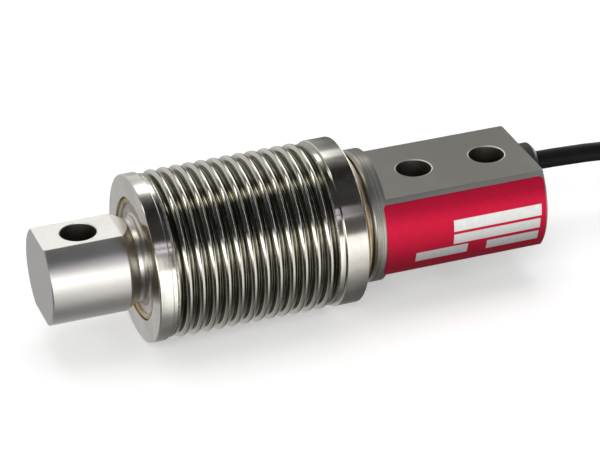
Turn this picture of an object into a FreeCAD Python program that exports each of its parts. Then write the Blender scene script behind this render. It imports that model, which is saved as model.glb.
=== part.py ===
"""Bellows-sealed bending beam load cell with its measuring bridge, gland and cable, in millimetres.

The bar's axis runs along X, from the load end to the cable end, and Z is up. The origin is midway
between the two mounting holes, on the lower mounting flat.
"""
import FreeCAD
import Part

import math
import os

# Load end
NOSE_DIA = 24.5
NOSE_THICKNESS = 21.2
NOSE_LENGTH = 20.0
NOSE_EDGE_BREAK = 0.3
TAPER_LENGTH = 2.9
NECK_BELOW_SEAT = 4.5
NECK_FILLET = 2.6
LOAD_HOLE_FROM_FACE = 10.5
LOAD_HOLE_CHAMFER = 0.5

# Mounting end
MOUNT_DIA = 34.2
MOUNT_THICKNESS = 21.4
MOUNT_FLAT_LENGTH = 42.8
MOUNT_COLLAR_LENGTH = 4.2
MOUNT_COLLAR_EDGE = 0.8
MOUNT_EDGE_BREAK = 0.5
MOUNT_HOLE_SPACING = 20.0
MOUNT_HOLE_TO_END = 10.0
MOUNT_HOLE_CHAMFER = 0.4
BOLT_HOLE_DIA = 9.0

# Welded rings at the two ends of the bellows
RING_DIA = 42.6
RING_EDGE_BREAK = 0.3
FRONT_RING_WIDTH = 3.7
FRONT_RING_WALL = 6.3
FRONT_RECESS_WIDTH = 0.6
FRONT_RECESS_DEPTH = 1.1
REAR_RING_WIDTH = 6.0
REAR_RING_WALL = 5.5
REAR_NECK_LENGTH = 3.1

# Bellows, turned in flat facets
FACETS = 36
CONVOLUTIONS = 12
PITCH = 3.33
CREST_FLAT = 0.32
SHOULDER_RUN = 0.26
SHOULDER_DROP = 0.18
ROOT_FLAT = 1.26
ROOT_TO_CUFF = 0.515
CREST_BELOW_RING = 0.1
CONVOLUTION_DEPTH = 1.9
BELLOWS_WALL = 0.3
CUFF_BELOW_RING = 0.6
CUFF_CHAMFER = 0.4
FRONT_CUFF_LENGTH = 1.95
REAR_CUFF_LENGTH = 1.85
SPIGOT_SETBACK = 0.45
SPIGOT_CLEARANCE = 0.02

# Weld beads
FRONT_BEAD_WIDTH = 1.6
FRONT_BEAD_HEIGHT = 0.65
REAR_BEAD_WIDTH = 2.6
REAR_BEAD_HEIGHT = 1.2
REAR_BEAD_DIP = 0.6

# Measuring beam inside the bellows
BEAM_HEIGHT = 15.6
FLEXURE_HOLE_DIA = 10.4
FLEXURE_FROM_COLLAR = 9.3
FLEXURE_SPACING = 17.0
SLOT_HEIGHT = 5.0

# Strain gauge bridge
GAUGE_LENGTH = 6.0
GAUGE_WIDTH = 5.0
GAUGE_THICKNESS = 0.15
STRIP_LENGTH = 5.0
STRIP_WIDTH = 8.0
STRIP_THICKNESS = 0.8
LEAD_DIA = 0.3
LEAD_SPACING = 2.4
BRIDGE_WIRE_DIA = 0.5
BRIDGE_WIRE_SPACING = 6.8
BRIDGE_WIRES_ON_BOARD = (1.44, 2.88)

# Compensation board on the beam's side
BOARD_LENGTH = 9.6
BOARD_HEIGHT = 12.0
BOARD_THICKNESS = 1.0
BOARD_FROM_COLLAR = 0.6
RESISTOR_LENGTH = 3.2
RESISTOR_WIDTH = 1.6
RESISTOR_THICKNESS = 0.6
RESISTOR_SPACING = 2.2
RESISTOR_FROM_EDGE = 0.96
POST_DIA = 0.9
POST_FROM_COLLAR = 4.4

# Cable channel and gland, set to the far side of the mounting holes
CHANNEL_WALL = 2.8
CHANNEL_DIA = 4.4
SEALANT_LENGTH = 3.4
GLAND_BORE_DIA = 8.4
GLAND_BORE_DEPTH = 12.0
GLAND_HEAD_DIA = 10.4
GLAND_HEAD_LENGTH = 8.0
GLAND_CHAMFER = 1.2
GLAND_CHAMBER_DIA = 6.8
GLAND_LIP_LENGTH = 1.0
GLAND_LIP_CLEARANCE = 0.1
WASHER_THICKNESS = 0.8
POTTING_LENGTH = 2.2
JACKET_IN_POTTING = 0.7

# Label on the near side of the mounting end
LABEL_PAST_FLAT = 1.0
LABEL_HEIGHT = 19.8
LABEL_DROP = 0.3
LABEL_THICKNESS = 0.2
LABEL_CORNER = 1.0
LABEL_TO_END = 0.6

# Cable
CABLE_DIA = 5.0
CORE_DIA = 1.0
CORE_SPACING = 1.02
CORE_OFF_BOARD = 1.3
CORE_COUNT = 4
BEND_SHARE = 0.45

# Put-away hank of cable
HANK_FRONT = 105.0
HANK_STRAIGHT = 53.0
HANK_INNER_RADIUS = 15.0
HANK_TOP_LEVEL = 6.875
HANK_EDGE_RADIUS = 2.4
TIE_WIDTH = 4.0
TIE_THICKNESS = 0.6

# Stripped end of the cable
TAIL_STRAIGHT = 10.0
TAIL_LENGTH = 30.0
TAIL_INWARD = 4.0
SLEEVE_DIA = 6.2
SLEEVE_MOUTH_DIA = 4.6
SLEEVE_LENGTH = 14.0
SLEEVE_TAPER = 3.5
SLEEVE_OVERLAP = 10.0
TAIL_CORE_DIA = 1.2
TAIL_CORE_OFFSET = 0.8
TAIL_CORE_LENGTH = 23.0
TAIL_CORE_SPREAD = (0.0, 0.6, 1.0)
TAIL_CORE_REACH = (0.3, 0.65, 1.0)
TAIL_CORE_LIFT = 0.2
DRAIN_DIA = 1.0
TIP_DIA = 0.8
TIP_LENGTH = 5.0

# Stripped wires: side and height of the start, one for each, and how far its end is fanned out
TAIL_WIRES = [(-1, 1, -2.0), (-1, -1, -7.0), (1, -1, 7.0), (1, 1, 2.0), (0, 0, 0.0)]

# Places that follow from the sizes, along X from the origin and about the bar's axis
AXIS_Z = MOUNT_THICKNESS / 2
FLOOR_Z = AXIS_Z - RING_DIA / 2
FRONT_SEAT = RING_DIA / 2 - FRONT_RING_WALL
FRONT_RECESS = FRONT_SEAT + FRONT_RECESS_WIDTH
REAR_SEAT = RING_DIA / 2 - REAR_RING_WALL
NECK_RADIUS = FRONT_SEAT - NECK_BELOW_SEAT
CHANNEL_SIDE = REAR_SEAT - CHANNEL_WALL - CHANNEL_DIA / 2
BOARD_FACE_Y = CHANNEL_SIDE - CORE_OFF_BOARD
BEAM_WIDTH = 2 * (BOARD_FACE_Y - BOARD_THICKNESS)
CREST = RING_DIA / 2 - CREST_BELOW_RING
ROOT = CREST - CONVOLUTION_DEPTH
CUFF = RING_DIA / 2 - CUFF_BELOW_RING
SPIGOT = (CUFF - BELLOWS_WALL) * math.cos(math.pi / FACETS) - SPIGOT_CLEARANCE
BELLOWS_LENGTH = FRONT_CUFF_LENGTH + REAR_CUFF_LENGTH + 2 * ROOT_TO_CUFF + CONVOLUTIONS * PITCH
BOLT_RADIUS = BOLT_HOLE_DIA / 2
END_X = MOUNT_HOLE_SPACING / 2 + MOUNT_HOLE_TO_END
FLAT_X = END_X - MOUNT_FLAT_LENGTH
COLLAR_X = FLAT_X - MOUNT_COLLAR_LENGTH
REAR_RING_END_X = COLLAR_X - REAR_NECK_LENGTH
REAR_RING_X = REAR_RING_END_X - REAR_RING_WIDTH
BELLOWS_X = REAR_RING_X - BELLOWS_LENGTH
FRONT_RING_X = BELLOWS_X - FRONT_RING_WIDTH
FRONT_SEAT_X = FRONT_RING_X + FRONT_RECESS_DEPTH
NECK_X = FRONT_SEAT_X - NECK_FILLET
TAPER_X = NECK_X - TAPER_LENGTH
NOSE_X = TAPER_X - NOSE_LENGTH
BEAM_START_X = BELLOWS_X + FRONT_CUFF_LENGTH - BELLOWS_WALL - SPIGOT_SETBACK
BEAM_END_X = REAR_RING_X - REAR_CUFF_LENGTH + BELLOWS_WALL + SPIGOT_SETBACK
FLEXURES_X = [BEAM_START_X + FLEXURE_FROM_COLLAR + i * FLEXURE_SPACING for i in (0, 1)]
STRIP_X = sum(FLEXURES_X) / 2
BOARD_X = BEAM_END_X - BOARD_FROM_COLLAR - BOARD_LENGTH
POST_X = BEAM_END_X - POST_FROM_COLLAR
GLAND_BORE_X = END_X - GLAND_BORE_DEPTH
GLAND_END_X = END_X + GLAND_HEAD_LENGTH
POTTING_END_X = GLAND_BORE_X + POTTING_LENGTH
JACKET_X = POTTING_END_X - JACKET_IN_POTTING
SEAL_X = POTTING_END_X + WASHER_THICKNESS
SEAL_END_X = GLAND_END_X - GLAND_LIP_LENGTH
CORES_Z = [AXIS_Z + (i - (CORE_COUNT - 1) / 2) * CORE_SPACING for i in range(CORE_COUNT)]

# Places of the hank, which lies on the floor in line with the bar
HANK_OUTER_RADIUS = HANK_INNER_RADIUS + CABLE_DIA
HANK_LOW_Z = FLOOR_Z + TIE_THICKNESS
HANK_HIGH_Z = HANK_LOW_Z + CABLE_DIA * (HANK_TOP_LEVEL + 1)
HANK_X = HANK_FRONT + HANK_OUTER_RADIUS + CABLE_DIA / 2 + HANK_STRAIGHT / 2
CABLE_ON_FLOOR = FLOOR_Z + CABLE_DIA / 2
CABLE_IN_HANK = HANK_LOW_Z + CABLE_DIA / 2
TAIL_SIDE = HANK_OUTER_RADIUS
TAIL_START_X = HANK_X + HANK_STRAIGHT / 2

# The cable's route from inside the gland down to the hank, chosen by hand
ROUTE = [
    (JACKET_X, CHANNEL_SIDE, AXIS_Z),
    (42.0, CHANNEL_SIDE, AXIS_Z),
    (73.0, 11.4, 3.4),
    (97.0, 12.9, CABLE_ON_FLOOR),
    (120.0, 14.7, CABLE_ON_FLOOR + TIE_THICKNESS / 2),
]


def turned(outline):
    """Turn a closed outline of edges, drawn as X and radius, about the bar's axis."""
    face = Part.Face(Part.Wire(outline))
    return face.revolve(FreeCAD.Vector(0, 0, AXIS_Z), FreeCAD.Vector(1, 0, 0), 360)


def at(x, radius):
    """A point of a turned outline."""
    return FreeCAD.Vector(x, 0, AXIS_Z + radius)


def lines(points):
    """Straight edges through points given as X and radius."""
    places = [at(*point) for point in points]
    return [Part.LineSegment(a, b).toShape() for a, b in zip(places, places[1:])]


def arc(start, middle, end):
    """An arc through three points given as X and radius."""
    return Part.Arc(at(*start), at(*middle), at(*end)).toShape()


def round_bar(radius, start_x, end_x, side=0.0, height=AXIS_Z):
    """A cylinder along X."""
    return Part.makeCylinder(
        radius, end_x - start_x, FreeCAD.Vector(start_x, side, height), FreeCAD.Vector(1, 0, 0)
    )


def block(start, end):
    """A box between its lowest and highest corners."""
    size = [b - a for a, b in zip(start, end)]
    return Part.makeBox(*size, FreeCAD.Vector(*start))


def bolt_hole(x, thickness, chamfer):
    """A hole through a pair of flats, chamfered at both, as the solid to cut away."""
    low, high = AXIS_Z - thickness / 2, AXIS_Z + thickness / 2
    down = FreeCAD.Vector(0, 0, -1)
    up = FreeCAD.Vector(0, 0, 1)
    hole = Part.makeCylinder(BOLT_RADIUS, thickness, FreeCAD.Vector(x, 0, low))
    wide = BOLT_RADIUS + chamfer
    top = Part.makeCone(wide, BOLT_RADIUS, chamfer, FreeCAD.Vector(x, 0, high), down)
    bottom = Part.makeCone(wide, BOLT_RADIUS, chamfer, FreeCAD.Vector(x, 0, low), up)
    return hole.fuse([top, bottom])


def flats(thickness, start_x, end_x, radius):
    """What is milled off a round bar to leave two flats."""
    half = thickness / 2
    above = block((start_x, -radius, AXIS_Z + half), (end_x, radius, AXIS_Z + 2 * radius))
    below = block((start_x, -radius, AXIS_Z - 2 * radius), (end_x, radius, AXIS_Z - half))
    return above.fuse(below)


def load_end():
    """The turned nose, its taper, the filleted neck and the seat of the front ring."""
    nose, neck = NOSE_DIA / 2, NECK_RADIUS
    bow = NECK_FILLET * math.sqrt(0.5)
    outline = lines([
        (NOSE_X, 0),
        (NOSE_X, nose - NOSE_EDGE_BREAK),
        (NOSE_X + NOSE_EDGE_BREAK, nose),
        (TAPER_X, nose),
        (NECK_X, neck),
    ])
    outline.append(
        arc((NECK_X, neck), (NECK_X + bow, neck + NECK_FILLET - bow), (FRONT_SEAT_X, neck + NECK_FILLET))
    )
    outline += lines([
        (FRONT_SEAT_X, neck + NECK_FILLET),
        (FRONT_SEAT_X, FRONT_SEAT),
        (BEAM_START_X, FRONT_SEAT),
        (BEAM_START_X, 0),
        (NOSE_X, 0),
    ])
    return turned(outline).cut(flats(NOSE_THICKNESS, NOSE_X, NECK_X, max(nose, neck)))


def mounting_end():
    """The seat of the rear ring, the round collar and the mounting end with its flats."""
    mount, edge = MOUNT_DIA / 2, MOUNT_COLLAR_EDGE
    bow = edge * (1 - math.sqrt(0.5))
    outline = lines([
        (BEAM_END_X, 0),
        (BEAM_END_X, REAR_SEAT),
        (COLLAR_X, REAR_SEAT),
        (COLLAR_X, mount - edge),
    ])
    outline.append(arc((COLLAR_X, mount - edge), (COLLAR_X + bow, mount - bow), (COLLAR_X + edge, mount)))
    outline += lines([
        (COLLAR_X + edge, mount),
        (END_X - MOUNT_EDGE_BREAK, mount),
        (END_X, mount - MOUNT_EDGE_BREAK),
        (END_X, 0),
        (BEAM_END_X, 0),
    ])
    return turned(outline).cut(flats(MOUNT_THICKNESS, FLAT_X, END_X, mount))


def measuring_beam():
    """The bending beam with its two joined flexure holes."""
    half_width, half_height = BEAM_WIDTH / 2, BEAM_HEIGHT / 2
    beam = block(
        (BEAM_START_X, -half_width, AXIS_Z - half_height), (BEAM_END_X, half_width, AXIS_Z + half_height)
    )
    slot = block(
        (FLEXURES_X[0], -half_width, AXIS_Z - SLOT_HEIGHT / 2),
        (FLEXURES_X[1], half_width, AXIS_Z + SLOT_HEIGHT / 2),
    )
    across = FreeCAD.Vector(0, 1, 0)
    holes = [
        Part.makeCylinder(FLEXURE_HOLE_DIA / 2, BEAM_WIDTH, FreeCAD.Vector(x, -half_width, AXIS_Z), across)
        for x in FLEXURES_X
    ]
    return beam.cut(slot.fuse(holes))


def beam_body():
    """The one-piece sensing body: load end, measuring beam and mounting end."""
    body = load_end().fuse([measuring_beam(), mounting_end()])
    cuts = [bolt_hole(NOSE_X + LOAD_HOLE_FROM_FACE, NOSE_THICKNESS, LOAD_HOLE_CHAMFER)]
    for x in (-MOUNT_HOLE_SPACING / 2, MOUNT_HOLE_SPACING / 2):
        cuts.append(bolt_hole(x, MOUNT_THICKNESS, MOUNT_HOLE_CHAMFER))
    cuts.append(round_bar(CHANNEL_DIA / 2, BEAM_END_X, END_X, CHANNEL_SIDE))
    cuts.append(round_bar(GLAND_BORE_DIA / 2, GLAND_BORE_X, END_X, CHANNEL_SIDE))
    return body.cut(cuts).removeSplitter()


def front_end_ring():
    """The ring that closes the bellows at the load end, with a recess for its weld."""
    ring, edge = RING_DIA / 2, RING_EDGE_BREAK
    return turned(lines([
        (FRONT_RING_X, FRONT_RECESS),
        (FRONT_RING_X, ring - edge),
        (FRONT_RING_X + edge, ring),
        (BELLOWS_X - edge, ring),
        (BELLOWS_X, ring - edge),
        (BELLOWS_X, SPIGOT),
        (BEAM_START_X, SPIGOT),
        (BEAM_START_X, FRONT_SEAT),
        (FRONT_SEAT_X, FRONT_SEAT),
        (FRONT_SEAT_X, FRONT_RECESS),
        (FRONT_RING_X, FRONT_RECESS),
    ]))


def rear_end_ring():
    """The ring that closes the bellows at the mounting end."""
    ring, edge = RING_DIA / 2, RING_EDGE_BREAK
    return turned(lines([
        (BEAM_END_X, REAR_SEAT),
        (BEAM_END_X, SPIGOT),
        (REAR_RING_X, SPIGOT),
        (REAR_RING_X, ring - edge),
        (REAR_RING_X + edge, ring),
        (REAR_RING_END_X - edge, ring),
        (REAR_RING_END_X, ring - edge),
        (REAR_RING_END_X, REAR_SEAT),
        (BEAM_END_X, REAR_SEAT),
    ]))


def faceted(outline):
    """Turn a closed outline of X and radius about the bar's axis in flat facets."""
    angles = [(i + 0.5) * 2 * math.pi / FACETS for i in range(FACETS)]
    rings = [
        [FreeCAD.Vector(x, radius * math.sin(a), AXIS_Z + radius * math.cos(a)) for a in angles]
        for x, radius in outline
    ]
    faces = []
    for ring, following in zip(rings, rings[1:] + rings[:1]):
        for i in range(FACETS):
            corners = [ring[i - 1], ring[i], following[i], following[i - 1]]
            faces.append(Part.Face(Part.makePolygon(corners + corners[:1])))
    shell = Part.Shell(faces)
    shell.sewShape()
    return Part.Solid(shell)


def bellows_face():
    """The points of the bellows' outer face from ring to ring, as X and radius."""
    start_x = BELLOWS_X + FRONT_CUFF_LENGTH
    end_x = REAR_RING_X - REAR_CUFF_LENGTH
    points = [
        (BELLOWS_X, CUFF),
        (start_x - CUFF_CHAMFER, CUFF),
        (start_x, CUFF - CUFF_CHAMFER),
        (start_x, ROOT),
    ]
    side = [
        (PITCH / 2 - ROOT_FLAT / 2, ROOT),
        (CREST_FLAT / 2 + SHOULDER_RUN, CREST - SHOULDER_DROP),
        (CREST_FLAT / 2, CREST),
    ]
    for i in range(CONVOLUTIONS):
        middle = start_x + ROOT_TO_CUFF + (i + 0.5) * PITCH
        points += [(middle - away, radius) for away, radius in side]
        points += [(middle + away, radius) for away, radius in side[::-1]]
    points += [(end_x, ROOT), (end_x, CUFF - CUFF_CHAMFER), (end_x + CUFF_CHAMFER, CUFF)]
    return points + [(REAR_RING_X, CUFF)]


def inner_face(points, depth):
    """The inner face of a wall, this far square to each run of its outer face."""
    ways = []
    for (x0, r0), (x1, r1) in zip(points, points[1:]):
        length = math.hypot(x1 - x0, r1 - r0)
        ways.append(((x1 - x0) / length, (r1 - r0) / length))
    moved = [(points[0][0], points[0][1] - depth)]
    for (x, radius), (ax, ar), (bx, br) in zip(points[1:], ways, ways[1:]):
        share = depth / (1 + ax * bx + ar * br)
        moved.append((x + (ar + br) * share, radius - (ax + bx) * share))
    return moved + [(points[-1][0], points[-1][1] - depth)]


def bellows():
    """The thin corrugated tube that seals the measuring beam."""
    face = bellows_face()
    return faceted(face + inner_face(face, BELLOWS_WALL)[::-1])


def front_weld_bead():
    """The weld between the body's front seat and the front ring, in the ring's recess."""
    high = FRONT_RECESS
    low = high - FRONT_BEAD_WIDTH
    crown = (FRONT_SEAT_X - FRONT_BEAD_HEIGHT, (low + high) / 2)
    edges = [arc((FRONT_SEAT_X, low), crown, (FRONT_SEAT_X, high))]
    edges += lines([(FRONT_SEAT_X, high), (FRONT_SEAT_X, low)])
    return turned(edges)


def rear_weld_bead():
    """The weld between the rear ring and the neck of the mounting end, laid in two passes."""
    crown, dip = REAR_SEAT + REAR_BEAD_HEIGHT, REAR_SEAT + REAR_BEAD_DIP
    start, middle, end = [REAR_RING_END_X + REAR_BEAD_WIDTH * share for share in (0, 0.5, 1)]
    edges = lines([(start, REAR_SEAT), (start, dip)])
    for left, right in ((start, middle), (middle, end)):
        edges.append(arc((left, dip), ((left + right) / 2, crown), (right, dip)))
    edges += lines([(end, dip), (end, REAR_SEAT), (start, REAR_SEAT)])
    return turned(edges)


def on_beam(side, length, width, thickness, x):
    """A thin pad bonded to the beam's top (side 1) or bottom (side -1)."""
    near = AXIS_Z + side * BEAM_HEIGHT / 2
    far = near + side * thickness
    return block((x - length / 2, -width / 2, min(near, far)), (x + length / 2, width / 2, max(near, far)))


def strain_gauge(side, x):
    """A foil strain gauge over the thinnest part of a flexure."""
    return on_beam(side, GAUGE_LENGTH, GAUGE_WIDTH, GAUGE_THICKNESS, x)


def terminal_strip(side):
    """The solder terminals between two gauges."""
    return on_beam(side, STRIP_LENGTH, STRIP_WIDTH, STRIP_THICKNESS, STRIP_X)


def gauge_leads():
    """The short bare leads from each gauge to its terminals."""
    leads = []
    for side in (1, -1):
        height = AXIS_Z + side * (BEAM_HEIGHT / 2 + LEAD_DIA / 2)
        gaps = [
            (FLEXURES_X[0] + GAUGE_LENGTH / 2, STRIP_X - STRIP_LENGTH / 2),
            (STRIP_X + STRIP_LENGTH / 2, FLEXURES_X[1] - GAUGE_LENGTH / 2),
        ]
        for start_x, end_x in gaps:
            for y in (-LEAD_SPACING / 2, LEAD_SPACING / 2):
                leads.append(round_bar(LEAD_DIA / 2, start_x, end_x, y, height))
    return Part.makeCompound(leads)


def bent_wire(points, radius):
    """A round wire through points, with ball corners."""
    places = [FreeCAD.Vector(*point) for point in points]
    runs = [
        Part.makeCylinder(radius, (b - a).Length, a, b - a) for a, b in zip(places, places[1:])
    ]
    corners = [Part.makeSphere(radius, place) for place in places[1:-1]]
    return runs[0].fuse(runs[1:] + corners).removeSplitter()


def bridge_wires():
    """The wires from the two terminal strips, round the beam's edge to the board."""
    radius = BRIDGE_WIRE_DIA / 2
    start_x = STRIP_X + STRIP_LENGTH / 2
    board_y = BOARD_FACE_Y + radius
    board_z = BOARD_HEIGHT / 2 - BRIDGE_WIRE_DIA
    turn_x = [BOARD_X + place for place in BRIDGE_WIRES_ON_BOARD]
    wires = []
    for side in (1, -1):
        height = AXIS_Z + side * (BEAM_HEIGHT / 2 + STRIP_THICKNESS / 2)
        for y, x in zip((BRIDGE_WIRE_SPACING / 2, -BRIDGE_WIRE_SPACING / 2), turn_x):
            wires.append(bent_wire([
                (start_x, y, height),
                (x, y, height),
                (x, board_y, height),
                (x, board_y, AXIS_Z + side * board_z),
            ], radius))
    return Part.makeCompound(wires)


def compensation_board():
    """The small circuit board that trims the bridge, bonded to the beam's far side."""
    return block(
        (BOARD_X, BEAM_WIDTH / 2, AXIS_Z - BOARD_HEIGHT / 2),
        (BOARD_X + BOARD_LENGTH, BOARD_FACE_Y, AXIS_Z + BOARD_HEIGHT / 2),
    )


def trim_resistors():
    """The resistors on the board, in a row below its terminals."""
    x = BOARD_X + RESISTOR_FROM_EDGE
    parts = []
    for i in (-1, 0, 1):
        z = AXIS_Z + i * RESISTOR_SPACING
        parts.append(block(
            (x, BOARD_FACE_Y, z - RESISTOR_WIDTH / 2),
            (x + RESISTOR_LENGTH, BOARD_FACE_Y + RESISTOR_THICKNESS, z + RESISTOR_WIDTH / 2),
        ))
    return Part.makeCompound(parts)


def solder_posts():
    """The board's posts, one for each core of the cable."""
    height = CHANNEL_SIDE + CORE_DIA / 2 - BOARD_FACE_Y
    away = FreeCAD.Vector(0, 1, 0)
    return Part.makeCompound([
        Part.makeCylinder(POST_DIA / 2, height, FreeCAD.Vector(POST_X, BOARD_FACE_Y, z), away)
        for z in CORES_Z
    ])


def inner_cores():
    """The cable's cores from its jacket, through the channel, to the board's posts."""
    start_x = POST_X + POST_DIA / 2
    return Part.makeCompound([
        round_bar(CORE_DIA / 2, start_x, JACKET_X, CHANNEL_SIDE, z) for z in CORES_Z
    ])


def channel_sealant():
    """The sealant round the cores where the channel opens into the bellows."""
    plug = round_bar(CHANNEL_DIA / 2, BEAM_END_X, BEAM_END_X + SEALANT_LENGTH, CHANNEL_SIDE)
    return plug.cut(inner_cores())


def gland_outline(points):
    """Turn an outline given as X and radius about the gland's axis."""
    places = [FreeCAD.Vector(x, CHANNEL_SIDE, AXIS_Z + radius) for x, radius in points]
    face = Part.Face(Part.makePolygon(places + places[:1]))
    return face.revolve(FreeCAD.Vector(0, CHANNEL_SIDE, AXIS_Z), FreeCAD.Vector(1, 0, 0), 360)


def gland_body():
    """The round sleeve that screws into the mounting end and holds the cable."""
    shank, head, chamber = GLAND_BORE_DIA / 2, GLAND_HEAD_DIA / 2, GLAND_CHAMBER_DIA / 2
    lip = CABLE_DIA / 2 + GLAND_LIP_CLEARANCE
    return gland_outline([
        (GLAND_BORE_X, chamber),
        (GLAND_BORE_X, shank),
        (END_X, shank),
        (END_X, head),
        (GLAND_END_X - GLAND_CHAMFER, head),
        (GLAND_END_X, head - GLAND_CHAMFER),
        (GLAND_END_X, lip),
        (SEAL_END_X, lip),
        (SEAL_END_X, chamber),
    ])


def gland_seal():
    """The rubber sleeve squeezed between the cable and the gland."""
    chamber, cable = GLAND_CHAMBER_DIA / 2, CABLE_DIA / 2
    return gland_outline([(SEAL_X, cable), (SEAL_X, chamber), (SEAL_END_X, chamber), (SEAL_END_X, cable)])


def gland_washer():
    """The ring that keeps the rubber sleeve in the gland."""
    chamber, bore = GLAND_CHAMBER_DIA / 2, CABLE_DIA / 2 + GLAND_LIP_CLEARANCE
    return gland_outline([
        (POTTING_END_X, bore), (POTTING_END_X, chamber), (SEAL_X, chamber), (SEAL_X, bore)
    ])


def potting_plug():
    """The potting round the cores behind the cable's jacket."""
    plug = round_bar(GLAND_CHAMBER_DIA / 2, GLAND_BORE_X, POTTING_END_X, CHANNEL_SIDE)
    jacket = round_bar(CABLE_DIA / 2, JACKET_X, POTTING_END_X, CHANNEL_SIDE)
    return plug.cut([inner_cores(), jacket])


def rounded_plate(start, end, radius, depth):
    """A plate in the XZ plane with rounded corners, thick towards -Y."""
    (x0, z0), (x1, z1) = start, end
    plate = block((x0, -depth, z0), (x1, 0, z1))
    corners = [e for e in plate.Edges if abs(e.Vertexes[0].Y - e.Vertexes[-1].Y) > depth / 2]
    return plate.makeFillet(radius, corners)


def nameplate():
    """The thin label that is stuck round the near side of the mounting end."""
    end_x = END_X - LABEL_TO_END
    start_x = FLAT_X - LABEL_PAST_FLAT
    middle = AXIS_Z - LABEL_DROP
    low, high = middle - LABEL_HEIGHT / 2, middle + LABEL_HEIGHT / 2
    plate = rounded_plate((start_x, low), (end_x, high), LABEL_CORNER, MOUNT_DIA)
    skin = round_bar(MOUNT_DIA / 2 + LABEL_THICKNESS, start_x, end_x)
    return skin.cut(round_bar(MOUNT_DIA / 2, start_x, end_x)).common(plate)


def bends(points):
    """The radius of the arc at each inner point of a route."""
    places = [FreeCAD.Vector(*point) for point in points]
    radii = []
    for before, here, after in zip(places, places[1:], places[2:]):
        turn = (here - before).getAngle(after - here)
        shorter = min((here - before).Length, (after - here).Length)
        radii.append(BEND_SHARE * shorter / math.tan(turn / 2))
    return radii


def run_along(points, radius):
    """A round tube along straight runs joined by tangent arcs, and the length of its path."""
    places = [FreeCAD.Vector(*point) for point in points]
    edges = []
    start = places[0]
    for before, here, after in zip(places, places[1:], places[2:]):
        back, ahead = before - here, after - here
        reach = BEND_SHARE * min(back.Length, ahead.Length)
        back.normalize()
        ahead.normalize()
        first, last = here + back * reach, here + ahead * reach
        half_turn = (back * -1).getAngle(ahead) / 2
        bend = reach / math.tan(half_turn)
        inward = back + ahead
        inward.normalize()
        middle = here + inward * (bend / math.cos(half_turn) - bend)
        edges.append(Part.LineSegment(start, first).toShape())
        edges.append(Part.Arc(first, middle, last).toShape())
        start = last
    edges.append(Part.LineSegment(start, places[-1]).toShape())
    path = Part.Wire(edges)
    ring = Part.Wire(Part.makeCircle(radius, places[0], places[1] - places[0]))
    return path.makePipeShell([ring], True, False), path.Length


def cable():
    """The cable from inside the gland to the hank."""
    tube, length = run_along(ROUTE, CABLE_DIA / 2)
    section = math.pi * CABLE_DIA ** 2 / 4
    print("cable bends", [round(r, 1) for r in bends(ROUTE)], "and", round(bends(tail_route())[0], 1))
    print("cable path", round(length, 2), "volume over section", round(tube.Volume / section, 2))
    return tube.cut(cable_hank())


def racetrack(radius, low, high, edge):
    """An upright block as long as the hank's straight runs with round ends."""
    height = high - low
    ends = [
        Part.makeCylinder(radius, height, FreeCAD.Vector(HANK_X + side * HANK_STRAIGHT / 2, 0, low))
        for side in (-1, 1)
    ]
    middle = block(
        (HANK_X - HANK_STRAIGHT / 2, -radius, low), (HANK_X + HANK_STRAIGHT / 2, radius, high)
    )
    solid = middle.fuse(ends).removeSplitter()
    if edge == 0:
        return solid
    level = [e for e in solid.Edges if abs(e.BoundBox.ZMax - e.BoundBox.ZMin) < edge / 10]
    return solid.makeFillet(edge, level)


def cable_hank():
    """The outer shape of the put-away cable: a bundle two turns wide on a long loop."""
    outside = racetrack(HANK_OUTER_RADIUS + CABLE_DIA / 2, HANK_LOW_Z, HANK_HIGH_Z, HANK_EDGE_RADIUS)
    inside = racetrack(HANK_INNER_RADIUS - CABLE_DIA / 2, HANK_LOW_Z, HANK_HIGH_Z, 0)
    return outside.cut(inside)


def tie_band(side, spread):
    """The outline of one bundle at the tie, grown by a spread."""
    near = HANK_INNER_RADIUS - CABLE_DIA / 2 - spread
    far = HANK_OUTER_RADIUS + CABLE_DIA / 2 + spread
    low, high = HANK_LOW_Z - spread, HANK_HIGH_Z + spread
    start_y, end_y = min(side * near, side * far), max(side * near, side * far)
    band = block((HANK_X - TIE_WIDTH / 2, start_y, low), (HANK_X + TIE_WIDTH / 2, end_y, high))
    outer = [
        e for e in band.Edges
        if abs(e.Vertexes[0].X - e.Vertexes[-1].X) > TIE_WIDTH / 2 and abs(e.Vertexes[0].Y) > abs(near) + spread
    ]
    return band.makeFillet(HANK_EDGE_RADIUS + spread, outer)


def hank_ties():
    """The two ties that hold the hank's long sides."""
    return Part.makeCompound([
        tie_band(side, TIE_THICKNESS).cut(tie_band(side, 0.0)) for side in (1, -1)
    ])


def tail_route():
    """The points of the cable from the hank to its stripped end."""
    return [
        FreeCAD.Vector(TAIL_START_X, TAIL_SIDE, CABLE_IN_HANK),
        FreeCAD.Vector(TAIL_START_X + TAIL_STRAIGHT, TAIL_SIDE, CABLE_IN_HANK),
        FreeCAD.Vector(TAIL_START_X + TAIL_LENGTH, TAIL_SIDE - TAIL_INWARD, CABLE_IN_HANK),
    ]


def tail_axes():
    """The end of the cable's jacket, the way it points and the level way across it."""
    _, before, end = tail_route()
    along = end - before
    along.normalize()
    return end, along, FreeCAD.Vector(-along.y, along.x, 0)


def cable_tail():
    """The cable from the hank to inside the end sleeve."""
    tube, _ = run_along(tail_route(), CABLE_DIA / 2)
    return tube.cut(cable_hank())


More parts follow.
